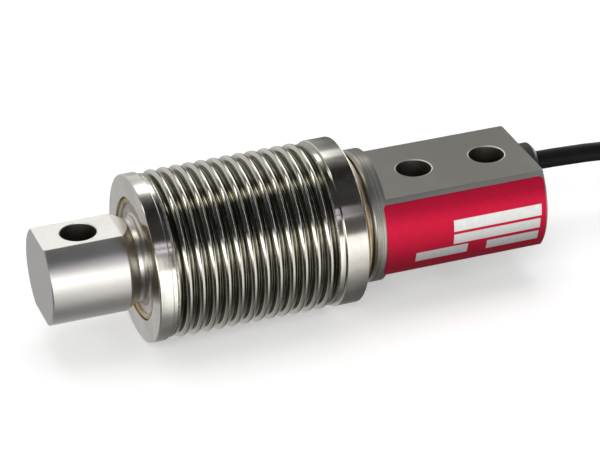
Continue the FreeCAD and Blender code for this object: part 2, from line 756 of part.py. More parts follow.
def end_sleeve():
    """The shrink sleeve over the end of the jacket, glued down on to the cores."""
    end, along, _ = tail_axes()
    start = end - along * SLEEVE_OVERLAP
    straight = SLEEVE_LENGTH - SLEEVE_TAPER
    barrel = Part.makeCylinder(SLEEVE_DIA / 2, straight, start, along)
    mouth = Part.makeCone(SLEEVE_DIA / 2, SLEEVE_MOUTH_DIA / 2, SLEEVE_TAPER, start + along * straight, along)
    tube, _ = run_along(tail_route(), CABLE_DIA / 2)
    return barrel.fuse(mouth).removeSplitter().cut([tube] + [end_wire(i)[0] for i in range(CORE_COUNT + 1)])


def end_wire(i):
    """A stripped core and its tinned tip, fanned out on the floor, or last the bare drain wire."""
    end, along, across = tail_axes()
    radius = (TAIL_CORE_DIA if i < CORE_COUNT else DRAIN_DIA) / 2
    side, rise, fan = TAIL_WIRES[i]
    start = end + across * (side * TAIL_CORE_OFFSET) + FreeCAD.Vector(0, 0, rise * TAIL_CORE_OFFSET)
    rest = FLOOR_Z + radius
    places = [start]
    heights = (start.z, rest + TAIL_CORE_LIFT, rest)
    for share, spread, height in zip(TAIL_CORE_REACH, TAIL_CORE_SPREAD, heights):
        place = start + along * (share * TAIL_CORE_LENGTH) + across * (fan * spread)
        place.z = height
        places.append(place)
    wire, _ = run_along(places, radius)
    last = places[-1]
    tip = Part.makeCylinder(TIP_DIA / 2, TIP_LENGTH, last, last - places[-2])
    return wire, tip


def tinned_tips():
    """The tinned ends of the stripped cores."""
    return Part.makeCompound([end_wire(i)[1] for i in range(CORE_COUNT)])


def nodes():
    """Every piece by its name."""
    made = {
        "beam_body": beam_body(),
        "front_end_ring": front_end_ring(),
        "front_weld_bead": front_weld_bead(),
        "bellows": bellows(),
        "rear_end_ring": rear_end_ring(),
        "rear_weld_bead": rear_weld_bead(),
        "gauge_leads": gauge_leads(),
        "bridge_wires": bridge_wires(),
        "compensation_board": compensation_board(),
        "trim_resistors": trim_resistors(),
        "solder_posts": solder_posts(),
        "inner_cores": inner_cores(),
        "channel_sealant": channel_sealant(),
        "gland_body": gland_body(),
        "gland_seal": gland_seal(),
        "gland_washer": gland_washer(),
        "potting_plug": potting_plug(),
        "nameplate": nameplate(),
        "cable": cable(),
        "cable_hank": cable_hank(),
        "hank_ties": hank_ties(),
        "cable_tail": cable_tail(),
        "end_sleeve": end_sleeve(),
        "tinned_tips": tinned_tips(),
    }
    for face, side in (("top", 1), ("bottom", -1)):
        made["terminal_strip_" + face] = terminal_strip(side)
        for end, x in zip(("front", "rear"), FLEXURES_X):
            made[f"strain_gauge_{face}_{end}"] = strain_gauge(side, x)
    for i, colour in enumerate(("red", "white", "green", "black")):
        made["core_" + colour] = end_wire(i)[0]
    made["drain_wire"] = end_wire(CORE_COUNT)[0]
    return made


def main():
    """Write one STEP file for each piece."""
    os.makedirs("parts", exist_ok=True)
    for name, shape in nodes().items():
        shape.exportStep(f"parts/{name}.step")


main()
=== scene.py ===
"""Looks of a bellows-sealed weighing load cell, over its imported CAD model.

The bar's axis runs along X, from the load end to the cable end, and Z is up. The origin is midway
between the two mounting holes, on the lower mounting flat. Sizes of pieces are in millimetres, as
in the part's source, and Blender's objects are in metres.
"""
from __future__ import annotations

import logging
import math
from collections.abc import Callable, Sequence
from dataclasses import dataclass
from enum import Enum
from typing import Any

import bmesh
import bpy
from mathutils import Matrix, Vector

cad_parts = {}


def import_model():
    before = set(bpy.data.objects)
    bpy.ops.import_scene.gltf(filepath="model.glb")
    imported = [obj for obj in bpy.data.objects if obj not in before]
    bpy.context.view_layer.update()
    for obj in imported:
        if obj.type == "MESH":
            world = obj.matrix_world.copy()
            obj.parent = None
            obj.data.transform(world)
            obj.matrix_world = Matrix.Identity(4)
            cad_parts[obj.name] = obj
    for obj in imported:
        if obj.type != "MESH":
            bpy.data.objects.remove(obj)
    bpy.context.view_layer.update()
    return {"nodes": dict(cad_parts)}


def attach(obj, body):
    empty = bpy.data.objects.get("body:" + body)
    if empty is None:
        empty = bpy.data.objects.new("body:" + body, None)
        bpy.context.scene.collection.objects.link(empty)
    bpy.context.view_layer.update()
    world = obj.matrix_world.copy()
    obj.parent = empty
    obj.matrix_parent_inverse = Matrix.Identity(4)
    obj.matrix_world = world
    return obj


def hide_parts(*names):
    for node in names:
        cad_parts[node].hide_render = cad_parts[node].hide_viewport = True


LOG = logging.getLogger("load_cell")
MM = 0.001
ROOT = "root"
SEED_METRES = 0.0004
MERGE_METRES = 2e-6
SHARP_DEGREES = 33.0

Outline = list[tuple[float, float]]
Place = tuple[float, float, float]
Colour = tuple[float, float, float]
Span = tuple[float, float, float]
Pane = tuple[Span, Span]
Levels = tuple[tuple[float, float], ...]
Piece = bpy.types.Object


class Bar:
    """Places along the bar in millimetres, as the part's source has them."""

    AXIS_Z = 10.7
    NOSE_X = -108.985
    TAPER_X = -88.985
    NECK_X = -86.085
    FRONT_RING_X = -84.585
    FRONT_SEAT_X = -83.485
    BELLOWS_X = -80.885
    BEAM_START_X = -79.685
    BEAM_END_X = -37.2
    REAR_RING_X = -36.1
    REAR_RING_END_X = -30.1
    COLLAR_X = -27.0
    FLAT_X = -22.8
    END_X = 20.0
    HOLES_X = (-98.485, -10.0, 10.0)
    FLOOR_Z = -10.6
    FRONT_SEAT = 15.0
    REAR_SEAT = 15.8
    CREST = 21.2
    ROOT = 19.3
    CHANNEL_SIDE = 10.8


class Wire:
    """One output of a shader graph, with the arithmetic that the finishes are written in."""

    def __init__(self, graph: Graph, socket: bpy.types.NodeSocket) -> None:
        """Keep the graph and the socket that the value comes from."""
        self.graph = graph
        self.socket = socket

    def maths(self, operation: str, *others: Any) -> Wire:
        """Add one Math node over this value and others."""
        return self.graph.maths(operation, self, *others)

    def __add__(self, other: Any) -> Wire:
        """Add."""
        return self.maths("ADD", other)

    def __sub__(self, other: Any) -> Wire:
        """Subtract."""
        return self.maths("SUBTRACT", other)

    def __rsub__(self, other: Any) -> Wire:
        """Subtract from a number."""
        return self.graph.maths("SUBTRACT", other, self)

    def __mul__(self, other: Any) -> Wire:
        """Multiply."""
        return self.maths("MULTIPLY", other)

    def __truediv__(self, other: Any) -> Wire:
        """Divide."""
        return self.maths("DIVIDE", other)

    __radd__ = __add__
    __rmul__ = __mul__

    def size(self) -> Wire:
        """The value without its sign."""
        return self.maths("ABSOLUTE")

    def reach(self, other: Wire) -> Wire:
        """The distance that this value and another make, square to each other."""
        return (self * self + other * other).maths("SQRT")

    def turn(self, up: Wire) -> Wire:
        """The angle round X in degrees, from up toward this value's negative side."""
        return (self * -1.0).maths("ARCTAN2", up) * math.degrees(1.0)

    def rise(self, low: float, high: float) -> Wire:
        """A smooth step, from 0 at one value to 1 at another."""
        inputs = {"Value": self, "From Min": low, "From Max": high}
        return self.graph.node("ShaderNodeMapRange", {"interpolation_type": "SMOOTHSTEP"}, inputs)

    def band(self, low: float, high: float, soft: float) -> Wire:
        """A mask that is 1 between two values and fades at both over a soft width."""
        return self.rise(low - soft, low + soft) * (1.0 - self.rise(high - soft, high + soft))


class Graph:
    """A node tree that is filled through one node-making method."""

    def __init__(self, tree: bpy.types.NodeTree) -> None:
        """Start on an emptied tree."""
        self.tree = tree
        tree.nodes.clear()

    def node(self, kind: str, settings: dict[str, Any], inputs: dict[Any, Any], output: Any = 0) -> Wire:
        """Make a node, set it and join its sockets.

        Args:
            kind: The node's type.
            settings: Its own settings, and for a ramp its stops.
            inputs: A number, colour, vector or wire for each named or numbered socket.
            output: The name or number of the socket that is wanted.

        Returns:
            That output.
        """
        made = self.tree.nodes.new(kind)
        for name, value in settings.items():
            if name == "stops":
                self._set_stops(made.color_ramp, value)
            else:
                setattr(made, name, value)
        for name, value in inputs.items():
            socket = made.inputs[name]
            if isinstance(value, Wire):
                self.tree.links.new(value.socket, socket)
            elif isinstance(value, tuple) and len(value) == 3 and socket.type == "RGBA":
                socket.default_value = (*value, 1.0)
            else:
                socket.default_value = value
        return Wire(self, made.outputs[output])

    @staticmethod
    def _set_stops(ramp: bpy.types.ColorRamp, stops: Sequence[tuple[float, Any]]) -> None:
        """Give a ramp its stops, each a place and a level or colour."""
        while len(ramp.elements) > 1:
            ramp.elements.remove(ramp.elements[-1])
        for i, (place, value) in enumerate(stops):
            stop = ramp.elements[0] if i == 0 else ramp.elements.new(place)
            stop.position = place
            colour = value if isinstance(value, tuple) else (value, value, value)
            stop.color = (*colour, 1.0)

    def maths(self, operation: str, *values: Any) -> Wire:
        """Add one Math node over numbers or wires."""
        return self.node("ShaderNodeMath", {"operation": operation}, dict(enumerate(values)))

    def ramp(self, fac: Wire, stops: Sequence[tuple[float, Any]]) -> Wire:
        """A colour ramp over a value."""
        return self.node("ShaderNodeValToRGB", {"stops": stops}, {"Fac": fac})

    def blend(self, amount: Any, first: Any, second: Any) -> Wire:
        """Mix two colours by an amount."""
        settings = {"data_type": "RGBA", "clamp_factor": True}
        return self.node("ShaderNodeMix", settings, {0: amount, 6: first, 7: second}, 2)

    def place(self) -> Wire:
        """The point on the piece, in metres."""
        return self.node("ShaderNodeTexCoord", {}, {}, "Object")

    def axes(self) -> tuple[Wire, ...]:
        """The point's three coordinates in millimetres."""
        split = self.node("ShaderNodeSeparateXYZ", {}, {0: self.place()})
        return tuple(Wire(self, socket) * 1000.0 for socket in split.socket.node.outputs)

    def noise(self, scale: float, detail: float = 2.0, rough: float = 0.5, at: Wire | None = None) -> Wire:
        """A noise value, about 0.5 in the middle, by the point on the piece or by another vector."""
        inputs = {"Vector": at or self.place(), "Scale": scale, "Detail": detail, "Roughness": rough}
        return self.node("ShaderNodeTexNoise", {}, inputs)

    def panes(self, x: Wire, angle: Wire, *panes: Pane) -> list[Wire]:
        """A mask for each pane, by its span along X and its span of angles."""
        return [x.band(*along) * angle.band(*about) for along, about in panes]

    def lines(
        self, axes: Sequence[Wire], along: float, across: float, detail: float = 2.0, rough: float = 0.5
    ) -> Wire:
        """Noise drawn out into lines round the bar, with a scale along X and one across it."""
        x, y, z = axes
        at = self.node("ShaderNodeCombineXYZ", {}, {0: x * along, 1: y * across, 2: z * across})
        return self.noise(1.0, detail, rough, at)

    def relief(self, height: Wire, depth: float) -> Wire:
        """A bumped normal from a height, with the depth in millimetres."""
        return self.node("ShaderNodeBump", {}, {"Height": height, "Distance": depth * MM, "Strength": 1.0})

    def surface(self, colour: Any, rough: Any, relief: Wire, metal: float = 1.0, gloss: float = 0.5) -> None:
        """End the tree in the usual surface shader."""
        sockets = {"Base Color": colour, "Roughness": rough, "Metallic": metal, "Specular IOR Level": gloss}
        self.finish(self.node("ShaderNodeBsdfPrincipled", {}, {**sockets, "Normal": relief}))

    def finish(self, shader: Wire, kind: str = "ShaderNodeOutputMaterial") -> None:
        """Join a shader to the output of the material or the world."""
        end = self.tree.nodes.new(kind)
        self.tree.links.new(shader.socket, end.inputs["Surface"])


@dataclass(frozen=True)
class Finish:
    """A finish with a name, which a subclass paints."""

    name: str

    def paint(self, graph: Graph) -> None:
        """Fill the material's tree."""
        raise NotImplementedError

    def material(self) -> bpy.types.Material:
        """The finish's material, made once."""
        made = bpy.data.materials.get(self.name)
        if made is None:
            made = bpy.data.materials.new(self.name)
            made.use_nodes = True
            self.paint(Graph(made.node_tree))
        return made


@dataclass(frozen=True)
class TurnedSteel(Finish):
    """Bright steel with the fine rings that a lathe leaves."""

    colour: Colour = (0.63, 0.605, 0.555)
    dull: Colour = (0.52, 0.50, 0.445)
    rough: float = 0.13
    ring_depth: float = 0.004
    grain: float = 0.10

    def paint(self, graph: Graph) -> None:
        """Rings along X, a slow clouding and a faint grain."""
        rings = graph.lines(graph.axes(), 5.0, 0.04, 3.0, 0.6)
        cloud = graph.noise(110.0, 3.0, 0.55)
        grain = graph.noise(3200.0, 2.0, 0.6)
        colour = graph.blend(cloud.rise(0.35, 0.7), self.dull, self.colour)
        rough = self.rough + (grain - 0.5) * self.grain + (cloud - 0.5) * 0.06
        graph.surface(colour, rough, graph.relief(rings + grain * 0.5, self.ring_depth))


@dataclass(frozen=True)
class BodySteel(Finish):
    """Satin steel of the body: a fine nose, a duller mount, heat tints by the welds, painted highlights on
    the nose flats and hole rims, and painted shade in the holes and on the milled end.
    """

    nose: Colour = (0.72, 0.695, 0.66)
    # painted highlight: the nose flats are painted much brighter than the nose's round
    flat: Colour = (0.95, 0.93, 0.88)
    face: Colour = (0.50, 0.485, 0.465)
    mount: Colour = (0.40, 0.39, 0.35)
    # partly the duller milled finish, partly painted shade: the mounting end past its milled edge is painted
    # darker
    milled_and_painted_shade: Colour = (0.27, 0.262, 0.232)
    taper: Colour = (0.62, 0.60, 0.54)
    speck: Colour = (0.40, 0.385, 0.34)
    silver: Colour = (0.50, 0.475, 0.42)
    brown: Colour = (0.17, 0.14, 0.10)
    # painted shade inside the holes
    bore: Colour = (0.20, 0.185, 0.16)
    # painted highlight on the right and near side of each hole's rim
    rim: Colour = (0.92, 0.90, 0.84)
    flat_height: tuple[float, float] = (10.45, 10.55)
    face_edge: tuple[float, float] = (-108.95, -108.8)
    milled_edge: tuple[float, float] = (-23.6, -23.2)
    hidden_middle: tuple[float, float] = (-60.0, -50.0)
    taper_span: Span = (-89.0, -86.4, 0.15)
    front_heat: Span = (-85.2, -83.2, 0.35)
    rear_heat: Span = (-29.9, -27.2, 0.3)
    collar: Span = (-27.2, -23.3, 0.3)
    turned_collar: Span = (-27.2, -23.0, 0.2)
    bore_shade_edge: tuple[float, float] = (4.52, 4.62)
    rim_highlight_band: Span = (4.62, 4.9, 0.06)

    def paint(self, graph: Graph) -> None:
        """Grain all over, with the mount's rougher finish, the painted shade in the holes and on the milled
        end, the painted highlights on the flats and rims, and the heat tints, by their place.
        """
        axes = graph.axes()
        x, y, z = axes
        grain = graph.noise(2600.0, 3.0, 0.65)
        cloud = graph.noise(90.0, 3.0, 0.6)
        rings = graph.lines(axes, 4.0, 0.05, 3.0, 0.6)
        rear = x.rise(*self.hidden_middle)
        top = (z - Bar.AXIS_Z).size().rise(*self.flat_height)
        # painted highlight: the nose flats take the brighter flat colour
        front = graph.blend(top, graph.blend(x.rise(*self.face_edge), self.face, self.nose), self.flat)
        # painted shade, partly the duller milled finish: the mount is painted darker past its milled edge
        colour = graph.blend(rear, front, graph.blend(x.rise(*self.milled_edge), self.mount, self.milled_and_painted_shade))
        colour = graph.blend((grain - 0.5).size() * 0.8 + cloud.rise(0.5, 0.8) * 0.2, colour, self.speck)
        colour = graph.blend(x.band(*self.taper_span) * 0.7, colour, self.taper)
        heat = x.band(*self.front_heat) + x.band(*self.rear_heat)
        tint = graph.blend(graph.lines(axes, 2.6, 0.1).rise(0.42, 0.58), self.silver, self.brown)
        colour = graph.blend(heat * 0.8, colour, tint)
        colour = graph.blend(x.band(*self.collar) * rings.rise(0.42, 0.58) * 0.6, colour, self.brown)
        inside: Any = 0.0
        rim: Any = 0.0
        for middle in Bar.HOLES_X:
            across = x - middle
            radius = across.reach(y)
            # painted shade: each hole's wall is painted dark
            inside = 1.0 - radius.rise(*self.bore_shade_edge) + inside
            # painted highlight on one side of each hole's rim
            rim = radius.band(*self.rim_highlight_band) * (across - y * 0.5).rise(-2.5, 3.5) + rim
        colour = graph.blend(rim, graph.blend(inside, colour, self.bore), self.rim)
        rough = 0.31 + rear * 0.03 + (grain - 0.5) * 0.16 + (inside + rim) * 0.2
        turned = 1.0 - rear * (1.0 - x.band(*self.turned_collar))
        graph.surface(colour, rough, graph.relief(grain + rings * turned * 0.2, 0.010))


@dataclass(frozen=True)
class BellowsSteel(Finish):
    """Polished thin steel of the bellows, with painted shade in its roots and the seams of its cuffs."""

    colour: Colour = (0.53, 0.51, 0.445)
    # painted shade in the roots of the folds
    root: Colour = (0.15, 0.145, 0.112)
    cloudy: Colour = (0.42, 0.40, 0.35)
    seam_dark: Colour = (0.22, 0.20, 0.17)
    seam_bright: Colour = (0.85, 0.83, 0.78)
    front_seam: Span = (-79.85, -79.4, 0.08)
    rear_seam: Span = (-37.95, -37.45, 0.08)

    def paint(self, graph: Graph) -> None:
        """Painted shade toward the roots, finely drawn lines, and a dotted seam on each cuff."""
        axes = graph.axes()
        x, y, z = axes
        grain = graph.noise(2800.0, 2.0, 0.6)
        cloud = graph.noise(150.0, 3.0, 0.6)
        lines = graph.lines(axes, 7.0, 0.06, 2.0, 0.6)
        # painted shade: the colour darkens from the crests down to the roots
        high = y.reach(z - Bar.AXIS_Z).rise(Bar.ROOT, Bar.CREST - 0.5)
        colour = graph.blend(high, self.root, self.colour)
        colour = graph.blend(cloud.rise(0.5, 0.8) * 0.35, colour, self.cloudy)
        seam = x.band(*self.rear_seam) + x.band(*self.front_seam)
        spots = graph.node("ShaderNodeTexVoronoi", {}, {"Vector": graph.place(), "Scale": 1900.0})
        dots = 1.0 - spots.rise(0.12, 0.42)
        colour = graph.blend(seam * 0.8, colour, graph.blend(dots, self.seam_dark, self.seam_bright))
        relief = graph.relief(lines * 0.04 + grain * 0.2 + seam * dots * 6.0, 0.003)
        graph.surface(colour, 0.115 + (grain - 0.5) * 0.08 + seam * 0.25, relief)


@dataclass(frozen=True)
class WeldSteel(Finish):
    """A heat-tinted weld with the small ripples of its passes."""

    bright: Colour = (0.60, 0.56, 0.47)
    gold: Colour = (0.46, 0.34, 0.17)
    brown: Colour = (0.16, 0.11, 0.065)
    ripples: float = 150.0

    def paint(self, graph: Graph) -> None:
        """Ripples round the axis and tints that change across and along the seam."""
        axes = graph.axes()
        angle = axes[1].maths("ARCTAN2", axes[2] - Bar.AXIS_Z)
        wobble = graph.noise(420.0)
        ripple = (angle * self.ripples + wobble * 5.0).maths("SINE")
        tint = graph.lines(axes, 1.3, 0.09, 3.0, 0.6)
        stops = [(0.3, self.brown), (0.45, self.gold), (0.62, self.bright), (0.75, self.gold)]
        relief = graph.relief(ripple * 0.5 + wobble * 0.8, 0.05)
        graph.surface(graph.ramp(tint, stops), 0.24 + wobble * 0.14, relief)


@dataclass(frozen=True)
class LabelFoil(Finish):
    """A crimson foil label with plain silver-grey fields and no print."""

    crimson: Colour = (0.62, 0.009, 0.048)
    deep: Colour = (0.46, 0.006, 0.032)
    silver: Colour = (0.74, 0.74, 0.72)
    grey: Colour = (0.62, 0.62, 0.61)
    fields: tuple[Pane, ...] = (
        ((-5.9, 18.0, 0.08), (79.3, 89.7, 0.3)),
        ((-5.9, 17.7, 0.08), (92.3, 101.8, 0.3)),
        ((-15.9, -1.9, 0.08), (104.0, 114.0, 0.3)),
        ((3.3, 17.5, 0.08), (105.0, 114.9, 0.3)),
    )

    def paint(self, graph: Graph) -> None:
        """The fields by their place along X and round the bar, over a slightly mottled foil."""
        x, y, z = graph.axes()
        angle = y.turn(z - Bar.AXIS_Z)
        mottle = graph.noise(900.0, 3.0, 0.6)
        cloud = graph.noise(70.0)
        bare = sum(graph.panes(x, angle, *self.fields))
        red = graph.blend(mottle.rise(0.3, 0.75) * 0.35 + cloud * 0.3 + 0.2, self.deep, self.crimson)
        field = graph.blend(mottle.rise(0.3, 0.8) * 0.5, self.silver, self.grey)
        rough = 0.40 + (mottle - 0.5) * 0.12
        graph.surface(graph.blend(bare, red, field), rough, graph.relief(mottle, 0.006), 0.85)


class Skin(Enum):
    """How a moulded or painted surface is textured: scale of its grain and depth in millimetres."""

    SMOOTH = (900.0, 0.004)
    FINE = (2200.0, 0.010)
    COARSE = (1100.0, 0.03)


@dataclass(frozen=True)
class Solid(Finish):
    """A plain material with a grain, a slow change of colour and a little change of gloss."""

    colour: Colour
    shade: Colour
    rough: float
    skin: Skin = Skin.SMOOTH
    metal: float = 0.0
    gloss: float = 0.5

    def paint(self, graph: Graph) -> None:
        """Cloud the colour and bump the grain."""
        scale, depth = self.skin.value
        grain = graph.noise(scale, 3.0, 0.6)
        cloud = graph.noise(scale / 9.0, 3.0, 0.55)
        colour = graph.blend(cloud.rise(0.35, 0.7), self.shade, self.colour)
        rough = self.rough + (grain - 0.5) * 0.16
        graph.surface(colour, rough, graph.relief(grain, depth), self.metal, self.gloss)


class Finishes:
    """Every finish of the load cell by the name of what it covers."""

    RING = TurnedSteel("ring_steel_finish")
    BODY = BodySteel("body_steel_finish")
    BELLOWS = BellowsSteel("bellows_steel_finish")
    WELD = WeldSteel("weld_finish")
    LABEL = LabelFoil("label_foil_finish")
    GLAND = Solid("gland_finish", (0.05, 0.05, 0.044), (0.03, 0.03, 0.027), 0.36, Skin.FINE, gloss=0.25)
    RUBBER = Solid("seal_rubber_finish", (0.018, 0.018, 0.018), (0.012, 0.012, 0.012), 0.6, Skin.COARSE)
    BRASS = Solid("brass_finish", (0.66, 0.48, 0.20), (0.50, 0.35, 0.14), 0.28, Skin.FINE, 1.0)
    POTTING = Solid("potting_finish", (0.05, 0.045, 0.04), (0.03, 0.028, 0.026), 0.3)
    SEALANT = Solid("sealant_finish", (0.72, 0.70, 0.64), (0.62, 0.60, 0.54), 0.45)
    FILM = Solid("gauge_film_finish", (0.50, 0.30, 0.08), (0.42, 0.24, 0.06), 0.3, Skin.FINE, 0.1)
    PAD = Solid("terminal_pad_finish", (0.62, 0.42, 0.16), (0.48, 0.32, 0.12), 0.4, Skin.FINE, 0.3)
    BOARD = Solid("board_finish", (0.02, 0.16, 0.06), (0.015, 0.11, 0.045), 0.35, Skin.FINE)
    RESISTOR = Solid("resistor_finish", (0.03, 0.03, 0.034), (0.02, 0.02, 0.022), 0.35, Skin.FINE)
    TINNED = Solid("tinned_wire_finish", (0.68, 0.67, 0.64), (0.50, 0.49, 0.46), 0.3, Skin.COARSE, 1.0)
    SHEATH = Solid("wire_sheath_finish", (0.55, 0.52, 0.45), (0.45, 0.42, 0.36), 0.5)
    JACKET = Solid(
        "cable_jacket_finish", (0.0065, 0.0065, 0.0065), (0.0045, 0.0045, 0.0045), 0.42, Skin.FINE, gloss=0.12
    )
    TIE = Solid("tie_finish", (0.02, 0.02, 0.021), (0.013, 0.013, 0.014), 0.5, Skin.COARSE, gloss=0.25)
    SLEEVE = Solid("sleeve_finish", (0.016, 0.016, 0.017), (0.01, 0.01, 0.011), 0.55, gloss=0.25)
    RED = Solid("red_core_finish", (0.55, 0.02, 0.015), (0.45, 0.015, 0.012), 0.38)
    WHITE = Solid("white_core_finish", (0.75, 0.74, 0.70), (0.66, 0.65, 0.61), 0.38)
    GREEN = Solid("green_core_finish", (0.02, 0.26, 0.06), (0.015, 0.20, 0.045), 0.38)
    BLACK = Solid("black_core_finish", (0.015, 0.015, 0.015), (0.01, 0.01, 0.01), 0.38)


class Bench:
    """The few runs of operators that the pieces are modelled with."""

    @staticmethod
    def clear() -> None:
        """Leave edit mode and deselect everything."""
        if bpy.context.object and bpy.context.object.mode != "OBJECT":
            bpy.ops.object.mode_set(mode="OBJECT")
        bpy.ops.object.select_all(action="DESELECT")

    @staticmethod
    def pick(obj: Piece) -> None:
        """Select one object alone and make it active."""
        Bench.clear()
        obj.select_set(True)
        bpy.context.view_layer.objects.active = obj

    @staticmethod
    def stand(name: str, data: bpy.types.ID) -> Piece:
        """Put a new object into the scene with its data."""
        made = bpy.data.objects.new(name, data)
        bpy.context.scene.collection.objects.link(made)
        return made

    @staticmethod
    def settle(name: str) -> Piece:
        """Name the new object and put its place in its mesh."""
        made = bpy.context.object
        made.name = made.data.name = name
        bpy.ops.object.transform_apply(location=True, rotation=True, scale=True)
        return made

    @staticmethod
    def edit(obj: Piece) -> None:
        """Open an object in edit mode by its points, with nothing selected."""
        Bench.pick(obj)
        bpy.ops.object.mode_set(mode="EDIT")
        bpy.context.tool_settings.mesh_select_mode = (True, False, False)
        bpy.ops.mesh.select_all(action="DESELECT")

    @staticmethod
    def tidy() -> None:
        """Merge doubled points and point every face outwards."""
        bpy.ops.mesh.select_all(action="SELECT")
        bpy.ops.mesh.remove_doubles(threshold=MERGE_METRES)
        bpy.ops.mesh.normals_make_consistent(inside=False)

    @staticmethod
    def modify(obj: Piece, kind: str, **settings: Any) -> None:
        """Add a modifier with its settings and apply it."""
        Bench.pick(obj)
        change = obj.modifiers.new("change", kind)
        for name, value in settings.items():
            setattr(change, name, value)
        bpy.ops.object.modifier_apply(modifier=change.name)

    @staticmethod
    def turned(name: str, outline: Outline, steps: int, side: float = 0.0, closed: bool = False) -> Piece:
        """Draw an outline point by point and spin it about a line along X.

        Args:
            name: The object's name.
            outline: The outline as X and radius.
            steps: How many steps go round.
            side: The line's place along Y, at the bar's height.
            closed: Whether the outline returns to its first point.

        Returns:
            The turned object, with its faces outwards.
        """
        Bench.clear()
        points = outline + outline[:1] if closed else outline
        x, radius = points[0]
        start = (x * MM, side * MM, (Bar.AXIS_Z + radius) * MM)
        bpy.ops.mesh.primitive_plane_add(size=SEED_METRES, location=start)
        made = Bench.settle(name)
        Bench.edit(made)
        bpy.ops.mesh.select_all(action="SELECT")
        bpy.ops.mesh.merge(type="CENTER")
        for before, here in zip(points, points[1:]):
            step = ((here[0] - before[0]) * MM, 0.0, (here[1] - before[1]) * MM)
            bpy.ops.mesh.extrude_vertices_move(TRANSFORM_OT_translate={"value": step})
        bpy.ops.mesh.select_all(action="SELECT")
        centre = (0.0, side * MM, Bar.AXIS_Z * MM)
        bpy.ops.mesh.spin(steps=steps, angle=math.tau, center=centre, axis=(1, 0, 0), use_auto_merge=True)
        Bench.tidy()
        bpy.ops.object.mode_set(mode="OBJECT")
        return made

    @staticmethod
    def block(name: str, low: Sequence[float], high: Sequence[float]) -> Piece:
        """A box between two corners in millimetres, as a cutter or a rough start."""
        Bench.clear()
        centre = [(a + b) / 2 * MM for a, b in zip(low, high)]
        bpy.ops.mesh.primitive_cube_add(size=1.0, location=centre)
        bpy.context.object.scale = [(b - a) * MM for a, b in zip(low, high)]
        return Bench.settle(name)

    @staticmethod
    def rod(name: str, radius: float, centre: Place, length: float, axis: str, steps: int) -> Piece:
        """A round rod about a point in millimetres, along an axis, as a cutter or a shell."""
        Bench.clear()
        turn = {"X": (0.0, math.pi / 2, 0.0), "Y": (math.pi / 2, 0.0, 0.0), "Z": (0.0, 0.0, 0.0)}[axis]
        place = [c * MM for c in centre]
        bpy.ops.mesh.primitive_cylinder_add(
            vertices=steps, radius=radius * MM, depth=length * MM, location=place, rotation=turn
        )
        return Bench.settle(name)

    @staticmethod
    def combine(obj: Piece, tools: Sequence[Piece], how: str) -> None:
        """Join or cut an object with tools, one after another, and delete them."""
        for tool in tools:
            Bench.modify(obj, "BOOLEAN", operation=how, solver="EXACT", object=tool)
            bpy.data.objects.remove(tool)

    @staticmethod
    def soften(obj: Piece, chosen: Callable[..., bool], width: float) -> None:
        """Bevel the sharp edges that a test on their two ends chooses.

        Args:
            obj: The piece.
            chosen: Takes an edge's two ends in millimetres.
            width: The bevel's width in millimetres.
        """
        Bench.edit(obj)
        bpy.context.tool_settings.mesh_select_mode = (False, True, False)
        mesh = bmesh.from_edit_mesh(obj.data)
        for edge in mesh.edges:
            sharp = len(edge.link_faces) == 2 and edge.calc_face_angle(0.0) > math.radians(SHARP_DEGREES)
            edge.select = sharp and chosen(*(v.co * 1000.0 for v in edge.verts))
        bmesh.update_edit_mesh(obj.data)
        bpy.ops.mesh.bevel(offset=width * MM, segments=2, clamp_overlap=False)
        bpy.ops.object.mode_set(mode="OBJECT")

    @staticmethod
    def wear(obj: Piece, finish: Finish) -> None:
        """Give a piece its one finish."""
        obj.data.materials.clear()
        obj.data.materials.append(finish.material())

    @staticmethod
    def dress(obj: Piece, finish: Finish, slot: str, node: str, angle: float = 28.0) -> Piece:
        """Shade a piece smooth but for its sharp edges, give it its finish and hide the CAD node that it
        replaces.

        Args:
            obj: The piece.
            finish: Its one finish.
            slot: The name of its material slot, which is not used.
            node: The CAD node that it replaces.
            angle: How sharp an edge stays sharp, in degrees.

        Returns:
            The piece.
        """
        Bench.pick(obj)
        bpy.ops.object.shade_smooth_by_angle(angle=math.radians(angle))
        Bench.modify(obj, "WEIGHTED_NORMAL", keep_sharp=True)
        Bench.wear(obj, finish)
        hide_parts(node)
        return obj


def curve_points(centre: tuple[float, float], radius: float, start: float, end: float, count: int) -> Outline:
    """Points round part of a circle in an outline.

    Args:
        centre: The circle's centre as X and radius.
        radius: The circle's own radius.
        start: The first angle in degrees, from +X toward the outside.
        end: The last angle.
        count: How many steps lie between.

    Returns:
        The points, both ends among them.
    """
    angles = [math.radians(start + (end - start) * i / count) for i in range(count + 1)]
    return [(centre[0] + radius * math.cos(a), centre[1] + radius * math.sin(a)) for a in angles]


